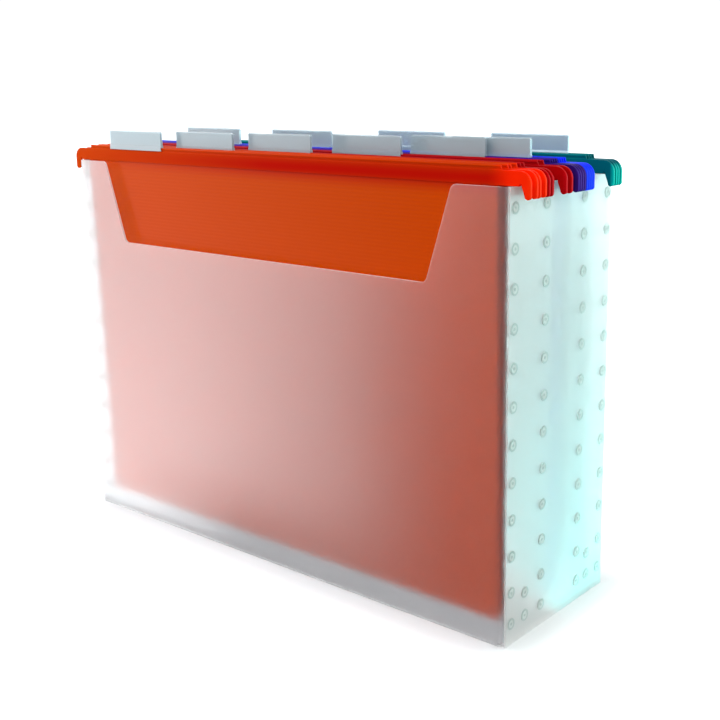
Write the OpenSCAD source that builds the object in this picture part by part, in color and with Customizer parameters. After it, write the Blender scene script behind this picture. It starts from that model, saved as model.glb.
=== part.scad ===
// Desktop hanging file organizer: a folded box of frosted sheet that carries ten hanging files.
// The origin is the middle of the underside. X runs along the front, Y runs to the back, Z is up.

/* [Box] */
// Outside width, left to right
box_width = 336; // [300:1:420]
// Outside depth, front to back
box_depth = 102; // [96:1:160]
// Height of the side walls
box_height = 236; // [200:1:300]
// Thickness of the frosted sheet
sheet = 1.2; // [0.8:0.1:2]
// Outside radius of every fold
fold_radius = 2.2; // [1.8:0.1:4]
// Width of the flaps turned in at the four corners
corner_flap = 42; // [25:1:46]
// Height of the flaps turned up from the base
base_flap = 19; // [12:1:26]
// Slit left between neighbouring flaps
flap_slit = 0.6; // [0.3:0.1:2]

/* [Front cut-out] */
// Width of the cut-out along the top edge
cut_top = 275.5; // [200:0.5:300]
// Width of the cut-out along its floor
cut_floor = 242.5; // [150:0.5:280]
// Depth of the cut-out below the top edge
cut_depth = 50.6; // [20:0.1:90]
// Radius of the two lower corners
cut_corner = 4; // [1:0.5:10]
// Radius of the two upper corners
cut_shoulder = 3.5; // [1:0.5:8]
// Middle of the cut-out to the right of the middle of the box
cut_aside = -2.5; // [-10:0.5:10]

/* [Spot welds] */
// Outside diameter of one weld mark
weld_diameter = 6.2; // [4.8:0.1:8]
// Inside diameter of its raised ring
weld_ring = 4.2; // [2:0.1:4.6]
// Diameter of the point in the middle
weld_point = 1.6; // [0.8:0.1:2]
// Height of the raised ring
weld_rise = 0.3; // [0.1:0.05:0.6]
// Welds in one column
weld_rows = 11; // [5:1:13]
// Top row below the rim
weld_from_rim = 10.2; // [8:0.1:20]
// Lowest full row above the floor
weld_from_floor = 29; // [26:0.5:40]
// Outer columns from the front and back
weld_edge = 6.8; // [5:0.1:12]
// Inner column from the front
weld_front_inner = 35.1; // [28:0.1:40]
// Inner column from the back
weld_back_inner = 30.3; // [28:0.1:40]
// Welds on the corner of the flaps, from the front and back
weld_mitre = 19.6; // [14:0.1:24]
// Row on the base flap
weld_low = 11.8; // [8:0.1:14]
// Mitre weld above the base flap
weld_above_flap = 5.6; // [4:0.1:8]

/* [Files] */
// Room between the file and each side wall
file_room = 7; // [6:0.5:12]
// Middle of the leaves to the right of the middle of their rails
leaf_aside = -2.5; // [-3:0.5:3]
// Underside of a hanging file above the floor
file_clear = 9; // [5:0.1:40]
// Thickness of the coloured sheet
leaf = 0.5; // [0.3:0.05:0.6]
// Inside radius of the bottom fold
crease = 0.4; // [0.3:0.05:0.6]
// Thickness of a hanging rail
rail_thick = 1.6; // [1.4:0.05:2]
// Height of a hanging rail
rail_high = 7.5; // [6:0.5:14]
// How far a hook reaches past the side wall
hook_reach = 9.5; // [8:0.5:14]
// Width of the drop of a hook at its root
hook_wide = 5; // [4:0.1:6.9]
// Width of the drop at its round tip
hook_tip = 3.4; // [2:0.1:4]
// Depth of the drop below the rim
hook_drop = 6; // [4:0.5:7]
// Radius of the outer corner of a hook
hook_corner = 6.3; // [4:0.1:8]
// Depth of the slot that holds the top of the leaf
slot_deep = 3; // [2:0.1:5]
// Rail above the rim when it hangs
rail_seat = 0.05; // [0.02:0.01:0.2]

/* [Tab track] */
// Thickness of the web that carries the bead
web_thick = 0.7; // [0.5:0.05:0.9]
// Diameter of the bead
bead = 1.4; // [1.2:0.05:1.6]
// Height of the web up to the middle of the bead
web_high = 1.6; // [1.2:0.05:2]
// Leaf beyond each end of the bead
track_end = 0.5; // [0.5:0.5:40]
// Slope at each end of the web
track_slope = 0.6; // [0.4:0.1:6]
// How far the web runs down into the rail
web_root = 1; // [0.5:0.1:2]

/* [Tabs] */
// Length of a tab
tab_long = 50; // [30:1:80]
// Height of a tab above the rail
tab_high = 12.1; // [8:0.1:20]
// Thickness of the label holder
tab_thick = 1.6; // [1.2:0.1:1.8]
// Thickness of the gripping legs
tab_leg = 0.4; // [0.3:0.05:0.5]
// Running clearance between tab and bead
tab_slip = 0.1; // [0.05:0.01:0.15]
// Gap between the legs and the rail
tab_lift = 0.3; // [0.2:0.05:0.4]
// Height of the lips under the bead
tab_lip = 0.5; // [0.2:0.05:0.6]
// Solid bar between the grip and the label slot
tab_bar = 1.1; // [0.6:0.1:2]
// Solid edge above the label slot
tab_roof = 0.7; // [0.4:0.1:1.5]
// Radius of the upper corners
tab_corner = 1; // [0.5:0.1:4]
// Width of the slot for the paper label
label_slot = 0.4; // [0.3:0.05:0.6]

/* [Places of the files] */
// Orange file 1: back rail from the front (below 0 from the back), mouth, tab from an end, forward travel
orange_1 = [11.1, 5.5, 21.2, 3]; // [-150:0.1:150]
// Orange file 2, same four lengths (a tab below 0 counts from the right-hand end)
orange_2 = [18.6, 4.9, 76.5, 0.4]; // [-150:0.1:150]
// Red file 1, same four lengths
red_1 = [25, 3, 131.5, 0]; // [-150:0.1:150]
// Red file 2, same four lengths
red_2 = [42.6, 5.1, -86.8, 9.8]; // [-150:0.1:150]
// Purple file 1, same four lengths
purple_1 = [51.1, 2.1, -39.1, 0]; // [-150:0.1:150]
// Purple file 2, same four lengths
purple_2 = [55.3, 2.1, -14, 0]; // [-150:0.1:150]
// Blue file 1, same four lengths
blue_1 = [59.5, 2.1, 35.5, 0]; // [-150:0.1:150]
// Blue file 2, same four lengths
blue_2 = [63.7, 2.1, 111, 0]; // [-150:0.1:150]
// Green file 1, same four lengths
green_1 = [-14.7, 2.8, -92.5, 12.8]; // [-150:0.1:150]
// Green file 2, same four lengths
green_2 = [-9.6, 2.8, -13.5, 0.1]; // [-150:0.1:150]

/* [Hidden] */
$fn = 48;

frosted = [0.90, 0.92, 0.93, 0.55];
weld_grey = [0.72, 0.74, 0.75];
orange = [0.90, 0.31, 0.08];
orange_rail_tone = [0.92, 0.16, 0.03];
red = [0.70, 0.05, 0.10];
red_rail_tone = [0.60, 0.02, 0.05];
purple = [0.25, 0.14, 0.52];
purple_rail_tone = [0.20, 0.09, 0.44];
blue = [0.10, 0.20, 0.85];
blue_rail_tone = [0.06, 0.14, 0.80];
green = [0.02, 0.50, 0.46];
green_rail_tone = [0.00, 0.36, 0.36];
clear = [0.86, 0.90, 0.93, 0.6];

// Faces of the box
wall_out = box_width / 2;
lining_out = wall_out - sheet;
lining_in = lining_out - sheet;
front_face = -box_depth / 2;
back_face = box_depth / 2;
flap_start = fold_radius + flap_slit;

// Heights on a hanging file
rail_under = box_height + rail_seat;
rail_top = rail_under + rail_high;
slot_top = rail_under + slot_deep;
bead_z = rail_top + web_high;
bead_top = bead_z + bead / 2;
crease_out = crease + leaf;
crease_mid = crease + leaf / 2;
crease_z = file_clear + crease_out;
swing = rail_under + rail_high / 2 - crease_z;

// Lengths on a hanging file
leaf_half = wall_out - file_room;
hook_out = wall_out + hook_reach;
track_half = leaf_half - track_end;

// Tab section
grip_half = bead / 2 + tab_slip;
lip_half = web_thick / 2 + tab_slip;
leg_half = grip_half + tab_leg;
lip_under = rail_top + tab_lift;
grip_floor = lip_under + tab_lip;
grip_top = bead_top + tab_slip / 2;
label_floor = grip_top + tab_bar;
tab_top = rail_top + tab_high;
label_top = tab_top - tab_roof;

// Part of the fold that a swinging front leaf leaves free
crease_free = 8;

// Place of the back rail, of the bottom fold and of the tab, and lean of the front half
function back_y(f) = f[0] > 0 ? front_face + f[0] : back_face + f[0];
function crease_y(f) = back_y(f) - crease_mid;
function lean(f) = asin((f[1] - 2 * crease_mid) / swing);
function tab_x(f) = f[2] > 0 ? f[2] + tab_long / 2 - track_half : f[2] - tab_long / 2 + track_half;

// Room under a front rail, so that it clears the rim over its whole forward travel
function dip(a) = (rail_under - crease_z) * (1 - cos(a)) + (crease_mid + rail_thick / 2) * sin(a);
function swing_room(f) = dip(lean(f) + asin(f[3] / swing));

// Rectangle with its two lower corners rounded, standing on the X axis
module tub(d, h, r) {
  translate([-d / 2 + r, 0]) square([d - 2 * r, h]);
  translate([-d / 2, r]) square([d, h - r]);
  for (s = [-1, 1]) {
    translate([s * (d / 2 - r), r]) circle(r);
  }
}

// Front, base and back in one folded strip
module wrap_strip() {
  rotate([90, 0, 90]) linear_extrude(2 * (lining_out - fold_radius), center = true) difference() {
    tub(box_depth, box_height, fold_radius);
    translate([0, sheet]) tub(box_depth - 2 * sheet, box_height, fold_radius - sheet);
  }
}

// Quarter of a folded edge, in the corner of positive X and negative Y
module fold_section() {
  difference() {
    intersection() {
      circle(fold_radius);
      translate([0, -fold_radius]) square(fold_radius);
    }
    circle(fold_radius - sheet);
  }
}

// Flap turned in from the front at the right-hand corner, lower edge cut on a mitre
module front_right_flap() {
  translate([lining_out - fold_radius, front_face + fold_radius, flap_start])
    linear_extrude(box_height - flap_start) fold_section();
  translate([lining_in, 0, 0]) rotate([90, 0, 90]) linear_extrude(sheet) polygon([
    [front_face + fold_radius, flap_start],
    [front_face + base_flap, base_flap + flap_slit],
    [front_face + corner_flap, base_flap + flap_slit],
    [front_face + corner_flap, box_height],
    [front_face + fold_radius, box_height]
  ]);
}

// Flap turned up from the base on the right, both ends cut on a mitre
module base_right_flap() {
  run = box_depth / 2 - flap_start;
  slope = base_flap - fold_radius;
  translate([lining_out - fold_radius, 0, fold_radius]) rotate([90, 0, 0])
    linear_extrude(2 * run, center = true) fold_section();
  translate([lining_in, 0, 0]) rotate([90, 0, 90]) linear_extrude(sheet) polygon([
    [-run, fold_radius],
    [run, fold_radius],
    [run - slope, base_flap],
    [slope - run, base_flap]
  ]);
}

// Trapezoid hollow in the top of the front panel
module front_cut() {
  floor_z = box_height - cut_depth;
  slope = atan((cut_top - cut_floor) / 2 / cut_depth);
  half = cut_floor / 2 - cut_corner * tan(45 - slope / 2);
  ease = cut_shoulder * tan(45 - slope / 2);
  translate([cut_aside, front_face + fold_radius, 0]) rotate([90, 0, 0]) linear_extrude(2 * fold_radius) {
    polygon([
      [-half, floor_z],
      [half, floor_z],
      [half + cut_corner * cos(slope), floor_z + cut_corner * (1 - sin(slope))],
      [cut_top / 2 + 2 * tan(slope), box_height + 2],
      [-cut_top / 2 - 2 * tan(slope), box_height + 2],
      [-half - cut_corner * cos(slope), floor_z + cut_corner * (1 - sin(slope))]
    ]);
    for (s = [0, 1]) {
      mirror([s, 0]) {
        translate([half, floor_z + cut_corner]) circle(cut_corner);
        difference() {
          polygon([
            [cut_top / 2 - ease * sin(slope), box_height - ease * cos(slope)],
            [cut_top / 2 + ease, box_height - cut_shoulder],
            [cut_top / 2 + ease, box_height + 2],
            [cut_top / 2 - cut_shoulder, box_height + 2]
          ]);
          translate([cut_top / 2 + ease, box_height - cut_shoulder]) circle(cut_shoulder);
        }
      }
    }
  }
}

// One side panel, laid on the outside of the flaps
module side_panel() {
  translate([lining_out, front_face + fold_radius, 0])
    cube([sheet, box_depth - 2 * fold_radius, box_height]);
}

// One weld mark: a raised ring with a point in its middle
module weld_mark() {
  rotate([0, 90, 0]) {
    cylinder(d = weld_diameter, h = weld_rise / 2);
    difference() {
      cylinder(d = weld_diameter, h = weld_rise);
      cylinder(d = weld_ring, h = 2 * weld_rise);
    }
    cylinder(d = weld_point, h = weld_rise);
  }
}

// One weld mark on the right-hand side, at a depth and a height
module weld_at(y, z) {
  translate([wall_out, y, z]) weld_mark();
}

// All weld marks of the right-hand side
module side_welds() {
  step = (box_height - weld_from_rim - weld_from_floor) / (weld_rows - 1);
  columns = [
    front_face + weld_edge,
    front_face + weld_front_inner,
    back_face - weld_back_inner,
    back_face - weld_edge
  ];
  for (y = columns) {
    for (row = [0 : weld_rows - 1]) {
      weld_at(y, weld_from_floor + row * step);
    }
    weld_at(y, weld_low);
  }
  for (y = [front_face + weld_mitre, back_face - weld_mitre]) {
    weld_at(y, weld_low);
    weld_at(y, base_flap + weld_above_flap);
  }
}

// Outline of a rail seen from the front, underside raised by the given room
module rail_outline(room) {
  under = rail_under + room;
  tip = box_height - hook_drop;
  corner = min(hook_corner, rail_high - 1);
  translate([corner - hook_out, under]) square([2 * (hook_out - corner), rail_top - under]);
  for (s = [0, 1]) {
    mirror([s, 0]) {
      translate([hook_out - corner, rail_top - corner]) intersection() {
        circle(corner);
        square(corner);
      }
      polygon([
        [hook_out - hook_tip, tip + hook_tip / 2],
        [hook_out, tip + hook_tip / 2],
        [hook_out, rail_top - corner],
        [hook_out - hook_wide, rail_top - corner],
        [hook_out - hook_wide, rail_under]
      ]);
      translate([hook_out - hook_tip / 2, tip + hook_tip / 2]) circle(hook_tip / 2);
    }
  }
}

// One hanging rail in the plane Y = 0, with its bead on top and the leaf slot below
module rail(room) {
  difference() {
    rotate([90, 0, 0]) linear_extrude(rail_thick, center = true) rail_outline(room);
    translate([leaf_aside - leaf_half, -leaf / 2, rail_under - 1])
      cube([2 * leaf_half, leaf, slot_top - rail_under + 1]);
  }
  rotate([90, 0, 0]) linear_extrude(web_thick, center = true) polygon([
    [-track_half - track_slope, rail_top - web_root],
    [track_half + track_slope, rail_top - web_root],
    [track_half + track_slope, rail_top],
    [track_half, bead_z],
    [-track_half, bead_z],
    [-track_half - track_slope, rail_top]
  ]);
  translate([-track_half, 0, bead_z]) rotate([0, 90, 0]) cylinder(d = bead, h = 2 * track_half);
}

// One leaf with its part of the round bottom fold, drawn about the axis of the fold. Side is 1 for the
// back leaf and -1 for the front leaf, and the fold is measured in degrees from the foot of the back leaf
module folded_leaf(side, from, to) {
  far = 3 * crease_out;
  translate([leaf_aside, 0, 0]) rotate([90, 0, 90]) linear_extrude(2 * leaf_half, center = true) {
    translate([side * crease_mid - leaf / 2, 0]) square([leaf, slot_top - crease_z]);
    intersection() {
      difference() {
        circle(crease_out);
        circle(crease);
      }
      polygon([
        [0, 0],
        [far * cos(from), -far * sin(from)],
        [far * cos((from + to) / 2), -far * sin((from + to) / 2)],
        [far * cos(to), -far * sin(to)]
      ]);
    }
  }
}

// Puts children on the plane of the back rail
module back_half(f) {
  translate([0, back_y(f), 0]) children();
}

// Puts children on the plane of the front rail, leaning forward about the bottom fold
module front_half(f) {
  translate([0, crease_y(f), crease_z]) rotate([lean(f), 0, 0])
    translate([0, -crease_mid, -crease_z]) children();
}

// Back leaf with the first part of the fold
module back_leaf(f) {
  translate([0, crease_y(f), crease_z]) folded_leaf(1, 0, 90 - crease_free);
}

// Front leaf with the rest of the fold
module front_leaf(f) {
  translate([0, crease_y(f), crease_z]) rotate([lean(f), 0, 0]) folded_leaf(-1, 90, 180);
}

// Clear label holder with two legs that grip the bead
module tab(f) {
  front_half(f) translate([tab_x(f), 0, 0]) difference() {
    intersection() {
      rotate([90, 0, 90]) linear_extrude(tab_long, center = true) difference() {
        union() {
          translate([-leg_half, lip_under]) square([2 * leg_half, label_floor - lip_under]);
          translate([-tab_thick / 2, lip_under]) square([tab_thick, tab_top - lip_under]);
        }
        translate([-lip_half, lip_under - 1]) square([2 * lip_half, grip_top - lip_under + 1]);
        translate([-grip_half, grip_floor]) square([2 * grip_half, grip_top - grip_floor]);
      }
      rotate([90, 0, 0]) linear_extrude(4 * leg_half, center = true) tab_face();
    }
    translate([-tab_long, -label_slot / 2, label_floor])
      cube([2 * tab_long, label_slot, label_top - label_floor]);
  }
}

// Front view of a tab, upper corners rounded
module tab_face() {
  translate([-tab_long / 2, lip_under]) square([tab_long, tab_top - tab_corner - lip_under]);
  translate([-tab_long / 2 + tab_corner, lip_under]) square([tab_long - 2 * tab_corner, tab_top - lip_under]);
  for (s = [-1, 1]) {
    translate([s * (tab_long / 2 - tab_corner), tab_top - tab_corner]) circle(tab_corner);
  }
}

module box_wrap() {
  color(frosted) difference() {
    union() {
      wrap_strip();
      for (turn = [0, 1]) {
        mirror([turn, 0, 0]) base_right_flap();
        for (back = [0, 1]) {
          mirror([turn, 0, 0]) mirror([0, back, 0]) front_right_flap();
        }
      }
    }
    front_cut();
  }
}

module left_side_panel() {
  color(frosted) mirror([1, 0, 0]) side_panel();
}

module right_side_panel() {
  color(frosted) side_panel();
}

module left_spot_welds() {
  color(weld_grey) mirror([1, 0, 0]) side_welds();
}

module right_spot_welds() {
  color(weld_grey) side_welds();
}

module orange_1_back_rail() {
  color(orange_rail_tone) back_half(orange_1) rail(0);
}

module orange_1_back_leaf() {
  color(orange) back_leaf(orange_1);
}

module orange_1_front_leaf() {
  color(orange) front_leaf(orange_1);
}

module orange_1_front_rail() {
  color(orange_rail_tone) front_half(orange_1) rail(swing_room(orange_1));
}

module orange_1_tab() {
  color(clear) tab(orange_1);
}

module orange_2_back_rail() {
  color(orange_rail_tone) back_half(orange_2) rail(0);
}

module orange_2_back_leaf() {
  color(orange) back_leaf(orange_2);
}

module orange_2_front_leaf() {
  color(orange) front_leaf(orange_2);
}

module orange_2_front_rail() {
  color(orange_rail_tone) front_half(orange_2) rail(swing_room(orange_2));
}

module orange_2_tab() {
  color(clear) tab(orange_2);
}

module red_1_back_rail() {
  color(red_rail_tone) back_half(red_1) rail(0);
}

module red_1_back_leaf() {
  color(red) back_leaf(red_1);
}

module red_1_front_leaf() {
  color(red) front_leaf(red_1);
}

module red_1_front_rail() {
  color(red_rail_tone) front_half(red_1) rail(swing_room(red_1));
}

module red_1_tab() {
  color(clear) tab(red_1);
}

module red_2_back_rail() {
  color(red_rail_tone) back_half(red_2) rail(0);
}

module red_2_back_leaf() {
  color(red) back_leaf(red_2);
}

module red_2_front_leaf() {
  color(red) front_leaf(red_2);
}

module red_2_front_rail() {
  color(red_rail_tone) front_half(red_2) rail(swing_room(red_2));
}

module red_2_tab() {
  color(clear) tab(red_2);
}

module purple_1_back_rail() {
  color(purple_rail_tone) back_half(purple_1) rail(0);
}

module purple_1_back_leaf() {
  color(purple) back_leaf(purple_1);
}

module purple_1_front_leaf() {
  color(purple) front_leaf(purple_1);
}

module purple_1_front_rail() {
  color(purple_rail_tone) front_half(purple_1) rail(swing_room(purple_1));
}

module purple_1_tab() {
  color(clear) tab(purple_1);
}

module purple_2_back_rail() {
  color(purple_rail_tone) back_half(purple_2) rail(0);
}

module purple_2_back_leaf() {
  color(purple) back_leaf(purple_2);
}

module purple_2_front_leaf() {
  color(purple) front_leaf(purple_2);
}

module purple_2_front_rail() {
  color(purple_rail_tone) front_half(purple_2) rail(swing_room(purple_2));
}

module purple_2_tab() {
  color(clear) tab(purple_2);
}

module blue_1_back_rail() {
  color(blue_rail_tone) back_half(blue_1) rail(0);
}

module blue_1_back_leaf() {
  color(blue) back_leaf(blue_1);
}

module blue_1_front_leaf() {
  color(blue) front_leaf(blue_1);
}

module blue_1_front_rail() {
  color(blue_rail_tone) front_half(blue_1) rail(swing_room(blue_1));
}

module blue_1_tab() {
  color(clear) tab(blue_1);
}

module blue_2_back_rail() {
  color(blue_rail_tone) back_half(blue_2) rail(0);
}

module blue_2_back_leaf() {
  color(blue) back_leaf(blue_2);
}

module blue_2_front_leaf() {
  color(blue) front_leaf(blue_2);
}

module blue_2_front_rail() {
  color(blue_rail_tone) front_half(blue_2) rail(swing_room(blue_2));
}

module blue_2_tab() {
  color(clear) tab(blue_2);
}

module green_1_back_rail() {
  color(green_rail_tone) back_half(green_1) rail(0);
}

module green_1_back_leaf() {
  color(green) back_leaf(green_1);
}

module green_1_front_leaf() {
  color(green) front_leaf(green_1);
}

module green_1_front_rail() {
  color(green_rail_tone) front_half(green_1) rail(swing_room(green_1));
}

module green_1_tab() {
  color(clear) tab(green_1);
}

module green_2_back_rail() {
  color(green_rail_tone) back_half(green_2) rail(0);
}

module green_2_back_leaf() {
  color(green) back_leaf(green_2);
}

module green_2_front_leaf() {
  color(green) front_leaf(green_2);
}

module green_2_front_rail() {
  color(green_rail_tone) front_half(green_2) rail(swing_room(green_2));
}

module green_2_tab() {
  color(clear) tab(green_2);
}

box_wrap();
left_side_panel();
right_side_panel();
left_spot_welds();
right_spot_welds();
orange_1_back_rail();
orange_1_back_leaf();
orange_1_front_leaf();
orange_1_front_rail();
orange_1_tab();
orange_2_back_rail();
orange_2_back_leaf();
orange_2_front_leaf();
orange_2_front_rail();
orange_2_tab();
red_1_back_rail();
red_1_back_leaf();
red_1_front_leaf();
red_1_front_rail();
red_1_tab();
red_2_back_rail();
red_2_back_leaf();
red_2_front_leaf();
red_2_front_rail();
red_2_tab();
purple_1_back_rail();
purple_1_back_leaf();
purple_1_front_leaf();
purple_1_front_rail();
purple_1_tab();
purple_2_back_rail();
purple_2_back_leaf();
purple_2_front_leaf();
purple_2_front_rail();
purple_2_tab();
blue_1_back_rail();
blue_1_back_leaf();
blue_1_front_leaf();
blue_1_front_rail();
blue_1_tab();
blue_2_back_rail();
blue_2_back_leaf();
blue_2_front_leaf();
blue_2_front_rail();
blue_2_tab();
green_1_back_rail();
green_1_back_leaf();
green_1_front_leaf();
green_1_front_rail();
green_1_tab();
green_2_back_rail();
green_2_back_leaf();
green_2_front_leaf();
green_2_front_rail();
green_2_tab();
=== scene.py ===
import math

import bmesh
import bpy
from mathutils import Matrix, Vector


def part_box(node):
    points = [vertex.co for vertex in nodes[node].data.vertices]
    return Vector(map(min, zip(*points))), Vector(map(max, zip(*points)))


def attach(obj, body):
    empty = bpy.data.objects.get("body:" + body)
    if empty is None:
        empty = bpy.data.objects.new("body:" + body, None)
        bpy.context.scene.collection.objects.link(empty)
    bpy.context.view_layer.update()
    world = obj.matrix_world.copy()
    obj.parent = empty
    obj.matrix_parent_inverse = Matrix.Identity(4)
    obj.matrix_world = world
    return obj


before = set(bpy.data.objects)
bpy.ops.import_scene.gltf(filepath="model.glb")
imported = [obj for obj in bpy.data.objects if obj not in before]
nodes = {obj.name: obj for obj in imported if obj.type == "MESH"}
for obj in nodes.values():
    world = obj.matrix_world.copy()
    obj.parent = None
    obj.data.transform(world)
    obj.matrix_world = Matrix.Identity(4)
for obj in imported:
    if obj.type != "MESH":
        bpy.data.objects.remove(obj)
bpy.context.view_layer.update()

# Box wrap: one frosted polypropylene sheet, 1.2 mm thick, die-cut with the trapezoid front opening and
# creased into front, base and back, with flaps turned in at the corners.


def linear(hex_colour):
    """sRGB hex to the linear colour that shaders work in."""
    channels = [int(hex_colour[i:i + 2], 16) / 255 for i in (1, 3, 5)]
    curve = [c / 12.92 if c <= 0.04045 else ((c + 0.055) / 1.055) ** 2.4 for c in channels]
    return (*curve, 1.0)


def add(tree, kind, sockets=None, **settings):
    """Adds one node: sockets holds a value or a link for each input, settings the node's own switches."""
    node = tree.nodes.new("ShaderNode" + kind)
    for name, value in settings.items():
        setattr(node, name, value)
    for name, value in (sockets or {}).items():
        if isinstance(value, bpy.types.NodeSocket):
            tree.links.new(value, node.inputs[name])
        else:
            node.inputs[name].default_value = value
    return node


def new_material(name):
    """An empty node material, returned with its tree and its output node."""
    material = bpy.data.materials.new(name)
    material.use_nodes = True
    tree = material.node_tree
    tree.nodes.clear()
    return material, tree, add(tree, "OutputMaterial")


def dress(node_name, material):
    """Gives a CAD node its finish through its material slots."""
    for entry in nodes[node_name].material_slots:
        entry.material = material


# The real grain of the matt skin, about 0.2 mm, is too fine to show, so it is drawn coarser. The clouds are
# the wider patches of more and less matt skin.
FROST_GRAIN, FROST_CLOUD = 0.0009, 0.035


def frosted_sheet(name, colour, clear, skin_ior):
    """Extruded polypropylene with a matt embossed skin: light goes through but is scattered, so what stands
    close behind shows as a soft colour, and a light from the side lays a white haze over it. The IOR is low,
    because a thin sheet hardly bends the view. Returns the material with its tree and its shader."""
    material, tree, out = new_material(name)
    coords = add(tree, "TexCoord").outputs["Object"]
    grain = add(tree, "TexNoise", {"Vector": coords, "Scale": 1 / FROST_GRAIN, "Detail": 2.0})
    cloud = add(tree, "TexNoise", {"Vector": coords, "Scale": 1 / FROST_CLOUD, "Detail": 3.0})
    rough = add(tree, "MapRange", {"Value": cloud.outputs["Fac"], "From Min": 0.3, "From Max": 0.7,
                                   "To Min": 0.72, "To Max": 0.80})
    bump = add(tree, "Bump", {"Height": grain.outputs["Fac"], "Strength": 0.12, "Distance": 0.0001})
    shader = add(tree, "BsdfPrincipled", {
        "Base Color": linear(colour), "Roughness": rough.outputs["Result"], "IOR": 1.15,
        "Transmission Weight": clear, "Coat Weight": 1.0, "Coat IOR": skin_ior, "Coat Roughness": 0.22,
        "Normal": bump.outputs["Normal"]})
    tree.links.new(shader.outputs["BSDF"], out.inputs["Surface"])
    return material, tree, shader


WRAP_CLEAR, CUT_CLEAR = 0.99, 0.15
wrap_sheet, tree, shader = frosted_sheet("frosted_polypropylene_wrap", "#F7F9FB", WRAP_CLEAR, 2.10)
split = add(tree, "SeparateXYZ", {0: add(tree, "TexCoord").outputs["Object"]})

# The front panel is all that lies before FRONT_SKIN. Its gloss is set lower towards the right, to match the
# haze in the photograph. The real sheet is likely even.
FRONT_SKIN = -0.0495
DULL_START, DULL_FULL, DULL_SHARE = 0.04, 0.165, 0.65
front = add(tree, "Math", {0: split.outputs["Y"], 1: FRONT_SKIN}, operation="LESS_THAN")
right = add(tree, "MapRange", {"Value": split.outputs["X"], "From Min": DULL_START, "From Max": DULL_FULL,
                               "To Max": DULL_SHARE}, interpolation_type="SMOOTHSTEP")
dull = add(tree, "Math", {0: front.outputs["Value"], 1: right.outputs["Result"]}, operation="MULTIPLY")
skin = add(tree, "Math", {0: 1.0, 1: dull.outputs["Value"]}, operation="SUBTRACT")
tree.links.new(skin.outputs["Value"], shader.inputs["Coat Weight"])

# The front's die-cut edges are set less clear, so they show as a pale line: partly the light the cut face
# scatters, partly a painted highlight where the edge catches the light. They are the faces that turn away
# from the front, short of the corner folds.
FOLD_START, TURNED_AWAY = 0.164, 0.5
surface = add(tree, "NewGeometry")
facing = add(tree, "SeparateXYZ", {0: surface.outputs["True Normal"]})
frontal = add(tree, "Math", {0: facing.outputs["Y"]}, operation="ABSOLUTE")
turned = add(tree, "Math", {0: frontal.outputs["Value"], 1: TURNED_AWAY}, operation="LESS_THAN")
across = add(tree, "Math", {0: split.outputs["X"]}, operation="ABSOLUTE")
inside = add(tree, "Math", {0: across.outputs["Value"], 1: FOLD_START}, operation="LESS_THAN")
edge = add(tree, "Math", {0: turned.outputs["Value"], 1: inside.outputs["Value"]}, operation="MULTIPLY")
edge = add(tree, "Math", {0: edge.outputs["Value"], 1: front.outputs["Value"]}, operation="MULTIPLY")
edge = add(tree, "Math", {0: edge.outputs["Value"], 1: surface.outputs["Backfacing"]},
           operation="SUBTRACT", use_clamp=True)
through = add(tree, "MapRange", {"Value": edge.outputs["Value"], "To Min": WRAP_CLEAR, "To Max": CUT_CLEAR})
tree.links.new(through.outputs["Result"], shader.inputs["Transmission Weight"])
dress("box_wrap", wrap_sheet)

# Side panels: flat pieces of the same sheet, die-cut and laid on the flaps from outside. A film of air stays
# between panel and flap, because the two are joined only at the welds. They are set less clear and less
# glossy than the wrap, to match the photograph.


def soften(node_name, width, edge_material=None):
    """Rounds the sharp edges of a CAD node by a small bevel, which may have a finish of its own."""
    node = nodes[node_name]
    join = node.modifiers.new("joined_faces", "WELD")
    join.merge_threshold = 1e-5
    bevel = node.modifiers.new("soft_edges", "BEVEL")
    bevel.width, bevel.segments = width, 2
    bevel.limit_method, bevel.angle_limit = "ANGLE", math.radians(50)
    bevel.use_clamp_overlap = False
    if edge_material:
        node.data.materials.append(edge_material)
        bevel.material = len(node.data.materials) - 1


AIR_FILM = 0.00008
panel_sheet = frosted_sheet("frosted_polypropylene_panel", "#F4F3F1", 0.66, 1.30)[0]

# Die-cut polypropylene: the blade leaves a fine drag that scatters light, so the edge is paler than the
# sheet. The pale rounded rim is partly that scatter and partly a painted highlight along the edge.
CUT_EDGE, BLADE_DRAG = 0.0002, 0.0015
cut_edge, tree, out = new_material("die_cut_polypropylene_edge")
coords = add(tree, "TexCoord").outputs["Object"]
drag = add(tree, "TexNoise", {"Vector": coords, "Scale": 1 / BLADE_DRAG, "Detail": 2.0})
tone = add(tree, "MixRGB", {"Fac": drag.outputs["Fac"], "Color1": linear("#F2F6F6"),
                            "Color2": linear("#FFFFFF")})
shader = add(tree, "BsdfPrincipled", {
    "Base Color": tone.outputs["Color"], "Roughness": 0.6, "IOR": 1.2, "Transmission Weight": 0.3,
    "Specular IOR Level": 0.3})
tree.links.new(shader.outputs["BSDF"], out.inputs["Surface"])
for name in ("left_side_panel", "right_side_panel"):
    dress(name, panel_sheet)
    soften(name, CUT_EDGE, cut_edge)
    film = nodes[name].modifiers.new("air_film", "DISPLACE")
    film.strength, film.mid_level = -AIR_FILM, 0.0

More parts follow.
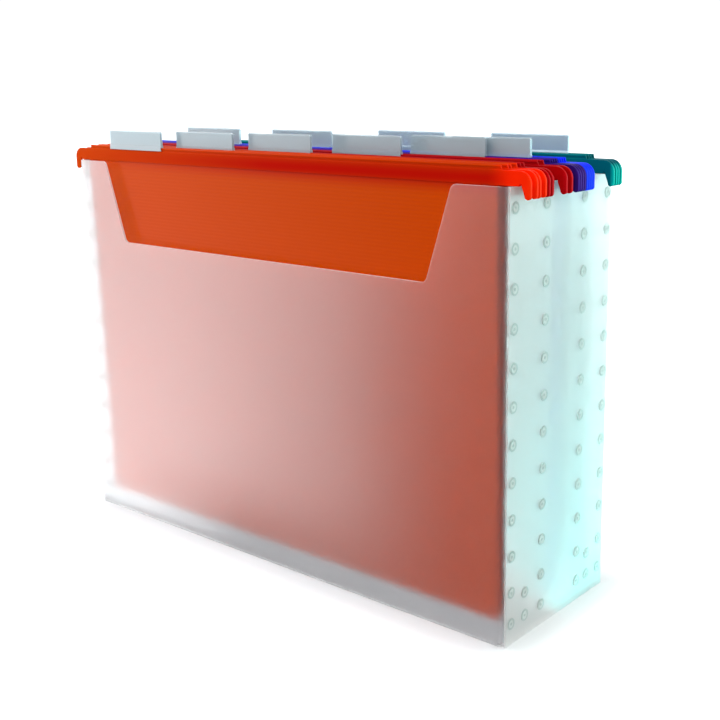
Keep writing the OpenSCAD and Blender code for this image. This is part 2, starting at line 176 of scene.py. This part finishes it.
# Spot welds: rings pressed into the side panels by a hot ring tool, which melts the panel to the flap.
# The melted plastic is darker than the frosted sheet round it, most where it stands up in the ring and the
# point. The marks are drawn fainter towards the back, where the photograph's light washes them out.
WELD_RIPPLE = 0.0008
RING_FOOT, RING_TOP = 0.00017, 0.00028
FRONT_COLUMN, BACK_COLUMN, BACK_SHARE = -0.045, 0.045, 0.4
wall_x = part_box("right_side_panel")[1][0]
weld, tree, out = new_material("melted_polypropylene_weld")
coords = add(tree, "TexCoord").outputs["Object"]
ripple = add(tree, "TexNoise", {"Vector": coords, "Scale": 1 / WELD_RIPPLE, "Detail": 2.0})
bump = add(tree, "Bump", {"Height": ripple.outputs["Fac"], "Strength": 0.2, "Distance": 0.0001})
split = add(tree, "SeparateXYZ", {0: coords})
from_middle = add(tree, "Math", {0: split.outputs["X"]}, operation="ABSOLUTE")
raised = add(tree, "MapRange", {"Value": from_middle.outputs["Value"], "From Min": wall_x + RING_FOOT,
                                "From Max": wall_x + RING_TOP})
deep = add(tree, "MapRange", {"Value": split.outputs["Y"], "From Min": FRONT_COLUMN, "From Max": BACK_COLUMN,
                              "To Min": 1.0, "To Max": BACK_SHARE})
mark = add(tree, "Math", {0: raised.outputs["Result"], 1: deep.outputs["Result"]}, operation="MULTIPLY")
tone = add(tree, "MixRGB", {"Fac": mark.outputs["Value"], "Color1": linear("#EEF1EE"),
                            "Color2": linear("#CCD4D0")})
shader = add(tree, "BsdfPrincipled", {
    "Base Color": tone.outputs["Color"], "Roughness": 0.8, "IOR": 1.15, "Transmission Weight": 0.75,
    "Specular IOR Level": 0.2, "Normal": bump.outputs["Normal"]})
tree.links.new(shader.outputs["BSDF"], out.inputs["Surface"])
for name in ("left_spot_welds", "right_spot_welds"):
    dress(name, weld)

# Leaves of the hanging files: one sheet of coloured polypropylene folded at the bottom into a back and a
# front leaf, and clamped in the rails at the top. The skin is embossed with fine level ribs, which break the
# light into level lines. The tones of a file are those of its sheet, its rail, its hooks and their tips; the
# brighter hook and tip tones are painted highlights, not the plastic's own colour.
FILES = {
    "orange": ("#CA4300", "#B80C00", "#FF2400", "#FF3206"),
    "red": ("#A80A14", "#A00408", "#B00408", "#C00A14"),
    "purple": ("#3A2090", "#2E0F70", "#2C0F68", "#3C1C80"),
    "blue": ("#1A35D8", "#0A24E6", "#0C30FF", "#183EFF"),
    "green": ("#067A78", "#00606A", "#005C66", "#00B4A6"),
}
# A wave texture of scale 1 repeats after WAVE_REPEAT.
RIB, WAVE_REPEAT = 0.0021, 0.314159
# The rail's tone, with the painted shade it lays on the leaf below, is deepest at CORE_UP above the rim and
# reaches RAIL_TINT up and down from there.
CORE_UP, RAIL_TINT = 0.0034, 0.011
rail_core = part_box("right_side_panel")[1][2] + CORE_UP
LEFT_END, LEFT_SHARE = -0.17, 0.2


def painted_rail_shading(tree, split, sheet_hex, rail_hex):
    """Colour of a rail and of the leaf in it: deepest in a line along the rail, and back to the sheet's tone
    above and below it, and towards the left end, which the photograph shows paler. The deeper band on the
    leaf below the rail is painted shade and a painted reflection of the rail's colour; the paler top of the
    rail is a painted highlight."""
    off = add(tree, "Math", {0: split.outputs["Z"], 1: rail_core}, operation="SUBTRACT")
    off = add(tree, "Math", {0: off.outputs["Value"]}, operation="ABSOLUTE")
    deep = add(tree, "MapRange", {"Value": off.outputs["Value"], "From Max": RAIL_TINT, "To Min": 1.0,
                                  "To Max": 0.0}, interpolation_type="SMOOTHSTEP")
    right = add(tree, "MapRange", {"Value": split.outputs["X"], "From Min": LEFT_END, "From Max": 0.0,
                                   "To Min": LEFT_SHARE, "To Max": 1.0})
    part = add(tree, "Math", {0: deep.outputs["Result"], 1: right.outputs["Result"]}, operation="MULTIPLY")
    return add(tree, "MixRGB", {"Fac": part.outputs["Value"], "Color1": linear(sheet_hex),
                                "Color2": linear(rail_hex)}).outputs["Color"]


for colour, (sheet_hex, rail_hex, hook_highlight_hex, tip_highlight_hex) in FILES.items():
    sheet, tree, out = new_material(colour + "_polypropylene_leaf")
    coords = add(tree, "TexCoord").outputs["Object"]
    ribs = add(tree, "TexWave", {"Vector": coords, "Scale": WAVE_REPEAT / RIB, "Distortion": 0.0},
               bands_direction="Z")
    bump = add(tree, "Bump", {"Height": ribs.outputs["Fac"], "Strength": 0.2, "Distance": 0.0002})
    split = add(tree, "SeparateXYZ", {0: coords})
    shader = add(tree, "BsdfPrincipled", {
        "Base Color": painted_rail_shading(tree, split, sheet_hex, rail_hex), "Roughness": 0.08, "IOR": 1.49,
        "Specular IOR Level": 0.07, "Normal": bump.outputs["Normal"]})
    tree.links.new(shader.outputs["BSDF"], out.inputs["Surface"])
    for number in "12":
        for place in ("back", "front"):
            dress(f"{colour}_{number}_{place}_leaf", sheet)

# Rails: moulded polypropylene bars that clamp the top of each leaf, with a hook at each end that hangs on the
# side wall and a bead on top that carries the tab. Their satin skin shows faint flow marks. The right hooks,
# which catch the most light in the photograph, are painted brighter than the rail, and their end faces
# brighter still: painted highlights.
RAIL_FLOW, RAIL_ROUND = 0.004, 0.0002
HOOK_START, HOOK_FULL, HOOK_TIP, HOOK_END = 0.152, 0.170, 0.1752, 0.1775
for colour, (sheet_hex, rail_hex, hook_highlight_hex, tip_highlight_hex) in FILES.items():
    rail, tree, out = new_material(colour + "_moulded_rail")
    coords = add(tree, "TexCoord").outputs["Object"]
    flow = add(tree, "TexNoise", {"Vector": coords, "Scale": 1 / RAIL_FLOW, "Detail": 2.0})
    bump = add(tree, "Bump", {"Height": flow.outputs["Fac"], "Strength": 0.1, "Distance": 0.0002})
    split = add(tree, "SeparateXYZ", {0: coords})
    # Painted highlight: the right hooks take a brighter tone, and their end faces a brighter one still.
    hook = add(tree, "MapRange", {"Value": split.outputs["X"], "From Min": HOOK_START, "From Max": HOOK_FULL},
               interpolation_type="SMOOTHSTEP")
    tip = add(tree, "MapRange", {"Value": split.outputs["X"], "From Min": HOOK_TIP, "From Max": HOOK_END})
    hook_highlight = add(tree, "MixRGB", {"Fac": tip.outputs["Result"], "Color1": linear(hook_highlight_hex),
                                    "Color2": linear(tip_highlight_hex)})
    tone = add(tree, "MixRGB", {"Fac": hook.outputs["Result"],
                                "Color1": painted_rail_shading(tree, split, sheet_hex, rail_hex),
                                "Color2": hook_highlight.outputs["Color"]})
    shader = add(tree, "BsdfPrincipled", {
        "Base Color": tone.outputs["Color"], "Roughness": 0.35, "IOR": 1.49, "Specular IOR Level": 0.015,
        "Normal": bump.outputs["Normal"]})
    tree.links.new(shader.outputs["BSDF"], out.inputs["Surface"])
    for number in "12":
        for place in ("back", "front"):
            dress(f"{colour}_{number}_{place}_rail", rail)
            soften(f"{colour}_{number}_{place}_rail", RAIL_ROUND)

# Tabs: label holders moulded in clear plastic. Two legs grip the bead of the front rail, so a tab slides
# along it. The glossy skin mirrors the light, and the body is a little cloudy, with faint flow marks.
TAB_FLOW = 0.003
clear, tree, out = new_material("clear_moulded_tab")
coords = add(tree, "TexCoord").outputs["Object"]
flow = add(tree, "TexNoise", {"Vector": coords, "Scale": 1 / TAB_FLOW, "Detail": 2.0})
bump = add(tree, "Bump", {"Height": flow.outputs["Fac"], "Strength": 0.08, "Distance": 0.0002})
shader = add(tree, "BsdfPrincipled", {
    "Base Color": linear("#CEDEE4"), "Roughness": 0.45, "IOR": 1.15, "Transmission Weight": 0.55,
    "Coat Weight": 1.0, "Coat IOR": 1.8, "Coat Roughness": 0.15, "Normal": bump.outputs["Normal"]})
tree.links.new(shader.outputs["BSDF"], out.inputs["Surface"])
for colour in FILES:
    for number in "12":
        dress(f"{colour}_{number}_tab", clear)

# Labels: blank strips of white paper pushed into the slot of each tab from its end. A strip is shorter than
# its tab, so a clear rim is left, and it bows a little in its slot. Uncoated paper is dull, with a faint
# fibre, and lets some light through. The white paper is set a dim bluish grey: painted shade, as the labels
# stand with the light behind them.
LABEL_LONG, LABEL_THICK, LABEL_BOW, LABEL_CORNER = 0.0485, 0.00015, 0.00004, 0.0006
LABEL_SHIFT = -0.0005
SLOT_FLOOR, SLOT_ROOF = 0.0035, 0.00075
RAIL_HIGH, RAIL_SEAT, TAB_HIGH = 0.0075, 0.00005, 0.0121
CREASE_MID, LEAF_HALF = 0.00065, 0.00025
PAPER_FIBRE = 0.0006
paper, tree, out = new_material("uncoated_paper_label")
coords = add(tree, "TexCoord").outputs["Object"]
fibre = add(tree, "TexNoise", {"Vector": coords, "Scale": 1 / PAPER_FIBRE, "Detail": 4.0})
tone = add(tree, "MixRGB", {"Fac": fibre.outputs["Fac"], "Color1": linear("#D2DADF"),
                            "Color2": linear("#DEE5E9")})
bump = add(tree, "Bump", {"Height": fibre.outputs["Fac"], "Strength": 0.1, "Distance": 0.00005})
shader = add(tree, "BsdfPrincipled", {
    "Base Color": tone.outputs["Color"], "Roughness": 0.85, "IOR": 1.1, "Transmission Weight": 0.6,
    "Specular IOR Level": 0.1, "Normal": bump.outputs["Normal"]})
tree.links.new(shader.outputs["BSDF"], out.inputs["Surface"])


def middle(node_name, axis):
    """Middle of a CAD node's box along one axis."""
    low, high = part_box(node_name)
    return (low[axis] + high[axis]) / 2


def paper_strip(name, low, high):
    """A thin strip in the XZ plane from low to high, bowed forward in the middle, with corners cut back."""
    across_n, up_n = 24, 4
    rings = []
    mesh = bmesh.new()
    for side in (-1, 1):
        grid = []
        for i in range(across_n + 1):
            row = []
            x = LABEL_LONG * (i / across_n - 0.5)
            inset = LABEL_CORNER if i in (0, across_n) else 0.0
            for k in range(up_n + 1):
                z = low + inset + (high - low - 2 * inset) * k / up_n
                y = side * LABEL_THICK / 2 - LABEL_BOW * math.cos(math.pi * x / LABEL_LONG)
                row.append(mesh.verts.new((x, y, z)))
            grid.append(row)
        rings.append(grid)
        for i in range(across_n):
            for k in range(up_n):
                corners = [grid[i][k], grid[i + 1][k], grid[i + 1][k + 1], grid[i][k + 1]]
                mesh.faces.new(corners if side < 0 else corners[::-1])
    front, back = rings
    rim = ([(i, 0) for i in range(across_n)] + [(across_n, k) for k in range(up_n)]
           + [(i, up_n) for i in range(across_n, 0, -1)] + [(0, k) for k in range(up_n, 0, -1)])
    for (i, k), (j, m) in zip(rim, rim[1:] + rim[:1]):
        mesh.faces.new((front[j][m], front[i][k], back[i][k], back[j][m]))
    bmesh.ops.recalc_face_normals(mesh, faces=mesh.faces)
    data = bpy.data.meshes.new(name)
    mesh.to_mesh(data)
    mesh.free()
    strip = bpy.data.objects.new(name, data)
    bpy.context.scene.collection.objects.link(strip)
    return strip


# A label leans with the front leaf about the fold at the bottom of its file.
rail_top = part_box("left_side_panel")[1][2] + RAIL_SEAT + RAIL_HIGH
for colour in FILES:
    for number in "12":
        file = f"{colour}_{number}"
        back_y = middle(file + "_back_rail", 1)
        mouth = back_y - middle(file + "_front_rail", 1)
        fold_y = back_y - CREASE_MID
        fold_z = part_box(file + "_back_leaf")[0][2] + CREASE_MID + LEAF_HALF
        lean = math.asin((mouth - 2 * CREASE_MID) / (rail_top - RAIL_HIGH / 2 - fold_z))
        label = paper_strip(file + "_label", rail_top + SLOT_FLOOR - fold_z,
                            rail_top + TAB_HIGH - SLOT_ROOF - fold_z)
        label.data.transform(Matrix.Translation((middle(file + "_tab", 0) + LABEL_SHIFT, fold_y, fold_z))
                             @ Matrix.Rotation(lean, 4, "X") @ Matrix.Translation((0, -CREASE_MID, 0)))
        label.data.materials.append(paper)
        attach(label, file + "_tab")

# Studio: a plain white floor that runs into a white surround. For the light that falls on the object the
# floor glows unevenly, as if lit from the left and from behind, and two soft boxes stand at the back and at
# the left.
FLOOR_HALF = 6.0
BOX_HALF = (0.168, 0.051, 0)
floor_mesh = bpy.data.meshes.new("floor")
floor_mesh.from_pydata([(-FLOOR_HALF, -FLOOR_HALF, 0), (FLOOR_HALF, -FLOOR_HALF, 0),
                        (FLOOR_HALF, FLOOR_HALF, 0), (-FLOOR_HALF, FLOOR_HALF, 0)], [], [(0, 1, 2, 3)])
floor = bpy.data.objects.new("floor", floor_mesh)
bpy.context.scene.collection.objects.link(floor)
white, tree, out = new_material("white_floor")
coords = add(tree, "TexCoord").outputs["Object"]
split = add(tree, "SeparateXYZ", {0: coords})

# How far a point of the floor is from the foot of the box.
size = add(tree, "VectorMath", {0: coords}, operation="ABSOLUTE")
past = add(tree, "VectorMath", {0: size.outputs["Vector"], 1: BOX_HALF}, operation="SUBTRACT")
clear_of = add(tree, "VectorMath", {0: past.outputs["Vector"], 1: (0, 0, 0)}, operation="MAXIMUM")
far = add(tree, "VectorMath", {0: clear_of.outputs["Vector"]}, operation="LENGTH").outputs["Value"]

# Glow under the box, brighter at its left end, and the faint glow of the open floor.
UNDER_GLOW, UNDER_GLOW_LEFT, FLOOR_GLOW = 0.50, 1.00, 0.15
UNDER_LEFT, UNDER_RIGHT, UNDER_EDGE = -0.17, -0.02, 0.004
under = add(tree, "MapRange", {"Value": split.outputs["X"], "From Min": UNDER_LEFT, "From Max": UNDER_RIGHT,
                               "To Min": UNDER_GLOW_LEFT, "To Max": UNDER_GLOW},
            interpolation_type="SMOOTHSTEP")
near_glow = add(tree, "MapRange", {"Value": far, "From Max": UNDER_EDGE, "To Min": under.outputs["Result"],
                                   "To Max": FLOOR_GLOW})

# Glow at the front left: a fan about a point behind the box, with its turn in degrees. It starts some way
# from the box, except at its left end.
LEFT_GLOW, LEFT_REST = 1.55, 0.15
FAN_X, FAN_Y = 0.462, 0.388
LEFT_RISE, LEFT_FALL, LEFT_CLOSE = (37, 51), (58, 70), (48, 54)
LEFT_START = (0.02, 0.11)
fan_x = add(tree, "Math", {0: FAN_X, 1: split.outputs["X"]}, operation="SUBTRACT")
fan_y = add(tree, "Math", {0: FAN_Y, 1: split.outputs["Y"]}, operation="SUBTRACT")
turn = add(tree, "Math", {0: fan_x.outputs["Value"], 1: fan_y.outputs["Value"]}, operation="ARCTAN2")
turn = add(tree, "Math", {0: turn.outputs["Value"]}, operation="DEGREES").outputs["Value"]
rise = add(tree, "MapRange", {"Value": turn, "From Min": LEFT_RISE[0], "From Max": LEFT_RISE[1],
                              "To Max": LEFT_GLOW})
fall = add(tree, "MapRange", {"Value": turn, "From Min": LEFT_FALL[0], "From Max": LEFT_FALL[1],
                              "To Min": 1.0, "To Max": LEFT_REST}, interpolation_type="SMOOTHSTEP")
close = add(tree, "MapRange", {"Value": turn, "From Min": LEFT_CLOSE[0], "From Max": LEFT_CLOSE[1],
                               "To Min": LEFT_REST})
start = add(tree, "MapRange", {"Value": far, "From Min": LEFT_START[0], "From Max": LEFT_START[1],
                               "To Min": close.outputs["Result"]})
left_glow = add(tree, "Math", {0: rise.outputs["Result"], 1: fall.outputs["Result"]}, operation="MULTIPLY")
left_glow = add(tree, "Math", {0: left_glow.outputs["Value"], 1: start.outputs["Result"]},
                operation="MULTIPLY")

# Glow at the right wall: its turn, in degrees, is 0 straight out from the wall and 90 to the back. The glow
# grows towards the back and ends behind the box, and its middle part is cool.
RIGHT_GLOW, FAR_SHARE, BEHIND_SHARE = 2.9, 0.3, 0.25
RIGHT_RISE, RIGHT_END, COOL_START, COOL_END = (-30, 50), (60, 100), (15, 52), (78, 108)
RIGHT_FALL, RIGHT_FOOT = (0.05, 0.6), (0.0005, 0.006)
right_x = add(tree, "Math", {0: split.outputs["X"], 1: BOX_HALF[0]}, operation="SUBTRACT")
turn = add(tree, "Math", {0: split.outputs["Y"], 1: right_x.outputs["Value"]}, operation="ARCTAN2")
turn = add(tree, "Math", {0: turn.outputs["Value"]}, operation="DEGREES").outputs["Value"]
rise = add(tree, "MapRange", {"Value": turn, "From Min": RIGHT_RISE[0], "From Max": RIGHT_RISE[1],
                              "To Max": RIGHT_GLOW}, interpolation_type="SMOOTHSTEP")
end = add(tree, "MapRange", {"Value": turn, "From Min": RIGHT_END[0], "From Max": RIGHT_END[1], "To Min": 1.0,
                             "To Max": BEHIND_SHARE}, interpolation_type="SMOOTHSTEP")
fall = add(tree, "MapRange", {"Value": far, "From Min": RIGHT_FALL[0], "From Max": RIGHT_FALL[1],
                              "To Min": 1.0, "To Max": FAR_SHARE})
foot = add(tree, "MapRange", {"Value": far, "From Min": RIGHT_FOOT[0], "From Max": RIGHT_FOOT[1]})
right_glow = add(tree, "Math", {0: rise.outputs["Result"], 1: fall.outputs["Result"]}, operation="MULTIPLY")
right_glow = add(tree, "Math", {0: right_glow.outputs["Value"], 1: end.outputs["Result"]},
                 operation="MULTIPLY")
right_glow = add(tree, "Math", {0: right_glow.outputs["Value"], 1: foot.outputs["Result"]},
                 operation="MULTIPLY")
cool = add(tree, "MapRange", {"Value": turn, "From Min": COOL_START[0], "From Max": COOL_START[1]})
cool_end = add(tree, "MapRange", {"Value": turn, "From Min": COOL_END[0], "From Max": COOL_END[1],
                                  "To Min": 1.0, "To Max": 0.0})
cool = add(tree, "Math", {0: cool.outputs["Result"], 1: cool_end.outputs["Result"]}, operation="MULTIPLY")
tint = add(tree, "MixRGB", {"Fac": cool.outputs["Value"], "Color1": linear("#FFFFFF"),
                            "Color2": linear("#58FFFF")})

# Glow at the back left, past the left wall, and the sum of all that glows. It fades at the foot of the box.
BACK_LEFT_GLOW = 3.0
PAST_LEFT, PAST_FRONT, FOOT_FADE = (-0.168, -0.178), (-0.05, 0.0), (0.001, 0.014)
past_left = add(tree, "MapRange", {"Value": split.outputs["X"], "From Min": PAST_LEFT[0],
                                   "From Max": PAST_LEFT[1], "To Max": BACK_LEFT_GLOW})
past_front = add(tree, "MapRange", {"Value": split.outputs["Y"], "From Min": PAST_FRONT[0],
                                    "From Max": PAST_FRONT[1]})
back_left = add(tree, "Math", {0: past_left.outputs["Result"], 1: past_front.outputs["Result"]},
                operation="MULTIPLY")
fade = add(tree, "MapRange", {"Value": far, "From Min": FOOT_FADE[0], "From Max": FOOT_FADE[1]},
           interpolation_type="SMOOTHSTEP")
extra = add(tree, "Math", {0: left_glow.outputs["Value"], 1: back_left.outputs["Value"]}, operation="MAXIMUM")
extra = add(tree, "Math", {0: extra.outputs["Value"], 1: fade.outputs["Result"]}, operation="MULTIPLY")
extra = add(tree, "Math", {0: extra.outputs["Value"], 1: right_glow.outputs["Value"]}, operation="MAXIMUM")
total = add(tree, "Math", {0: extra.outputs["Value"], 1: near_glow.outputs["Result"]}, operation="ADD")
lit = add(tree, "BsdfPrincipled", {
    "Base Color": linear("#505050"), "Roughness": 0.7, "Specular IOR Level": 0.2,
    "Emission Color": tint.outputs["Color"], "Emission Strength": total.outputs["Value"]})

# What is seen of the floor: white, with a soft shade round the foot of the box.
SHADE_REACH, SHADE_LEVEL, WHITE_LEVEL = 0.045, 0.05, 0.8
level = add(tree, "MapRange", {"Value": far, "From Max": SHADE_REACH, "To Min": SHADE_LEVEL,
                               "To Max": WHITE_LEVEL}, interpolation_type="SMOOTHSTEP")
clean = add(tree, "BsdfPrincipled", {
    "Base Color": linear("#E6E6E6"), "Roughness": 0.7, "Specular IOR Level": 0.2,
    "Emission Color": linear("#FFFFFF"), "Emission Strength": level.outputs["Result"]})
seen = add(tree, "LightPath").outputs["Is Camera Ray"]
mix = add(tree, "MixShader", {0: seen, 1: lit.outputs["BSDF"], 2: clean.outputs["BSDF"]})
tree.links.new(mix.outputs["Shader"], out.inputs["Surface"])
floor_mesh.materials.append(white)

# The surround is a little brighter at the front than behind, and plain white where it is seen.
BACKWARD = (0.25, 0.92, 0.3)
FRONT_LEVEL, BACK_LEVEL, SEEN_LEVEL = 1.20, 1.08, 1.05
FRONT_TURN, BACK_TURN = -0.7, 0.8
world = bpy.data.worlds.new("studio")
world.use_nodes = True
tree = world.node_tree
tree.nodes.clear()
out = add(tree, "OutputWorld")
direction = add(tree, "TexCoord").outputs["Generated"]
behind = add(tree, "VectorMath", {0: direction, 1: BACKWARD}, operation="DOT_PRODUCT")
level = add(tree, "MapRange", {"Value": behind.outputs["Value"], "From Min": FRONT_TURN,
                               "From Max": BACK_TURN, "To Min": FRONT_LEVEL, "To Max": BACK_LEVEL})
light = add(tree, "Background", {"Color": linear("#FFFFFF"), "Strength": level.outputs["Result"]})
plain = add(tree, "Background", {"Color": linear("#FFFFFF"), "Strength": SEEN_LEVEL})
seen = add(tree, "LightPath").outputs["Is Camera Ray"]
mix = add(tree, "MixShader", {0: seen, 1: light.outputs["Background"], 2: plain.outputs["Background"]})
tree.links.new(mix.outputs["Shader"], out.inputs["Surface"])
bpy.context.scene.world = world


def soft_box(name, place, target, width, height, watts, colour):
    """A rectangular soft box at place, facing target."""
    lamp = bpy.data.lights.new(name, "AREA")
    lamp.shape = "RECTANGLE"
    lamp.size, lamp.size_y = width, height
    lamp.energy = watts
    lamp.color = linear(colour)[:3]
    stand = bpy.data.objects.new(name, lamp)
    stand.location = place
    stand.rotation_euler = (Vector(target) - Vector(place)).to_track_quat("-Z", "Y").to_euler()
    stand.visible_camera = False
    bpy.context.scene.collection.objects.link(stand)


soft_box("back_soft_box", (0.95, 1.15, 0.45), (0, 0, 0.12), 1.2, 0.9, 13, "#D8FFFF")
soft_box("left_soft_box", (-0.75, -0.35, 0.75), (-0.1, 0, 0.2), 0.5, 0.5, 5.5, "#E2F4FF")

# Camera: at the photograph's viewing angle, in front of the right corner and above the rim. The shift puts
# the object where the photograph frames it.
FOCAL_PX, FRAME_PX, SENSOR = 1123.47, 720, 36.0
YAW, PITCH, ROLL = (math.radians(a) for a in (39.680, 12.053, 0.663))
CAMERA_PLACE = (0.46180, -0.48972, 0.28815)
SHIFT_X, SHIFT_Y = -0.0465, -0.0632
forward = Vector((-math.sin(YAW) * math.cos(PITCH), math.cos(YAW) * math.cos(PITCH), -math.sin(PITCH)))
across = Vector((math.cos(YAW), math.sin(YAW), 0))
down = forward.cross(across)
x_axis = math.cos(ROLL) * across + math.sin(ROLL) * down
y_axis = math.sin(ROLL) * across - math.cos(ROLL) * down
camera_data = bpy.data.cameras.new("camera")
camera_data.sensor_width = SENSOR
camera_data.lens = FOCAL_PX / FRAME_PX * SENSOR
camera_data.shift_x, camera_data.shift_y = SHIFT_X, SHIFT_Y
camera_data.clip_start = 0.01
camera = bpy.data.objects.new("camera", camera_data)
camera.matrix_world = Matrix.Translation(CAMERA_PLACE) @ Matrix(
    (x_axis, y_axis, -forward)).transposed().to_4x4()
bpy.context.scene.collection.objects.link(camera)
bpy.context.scene.camera = camera
bpy.context.scene.view_settings.view_transform = "Standard"
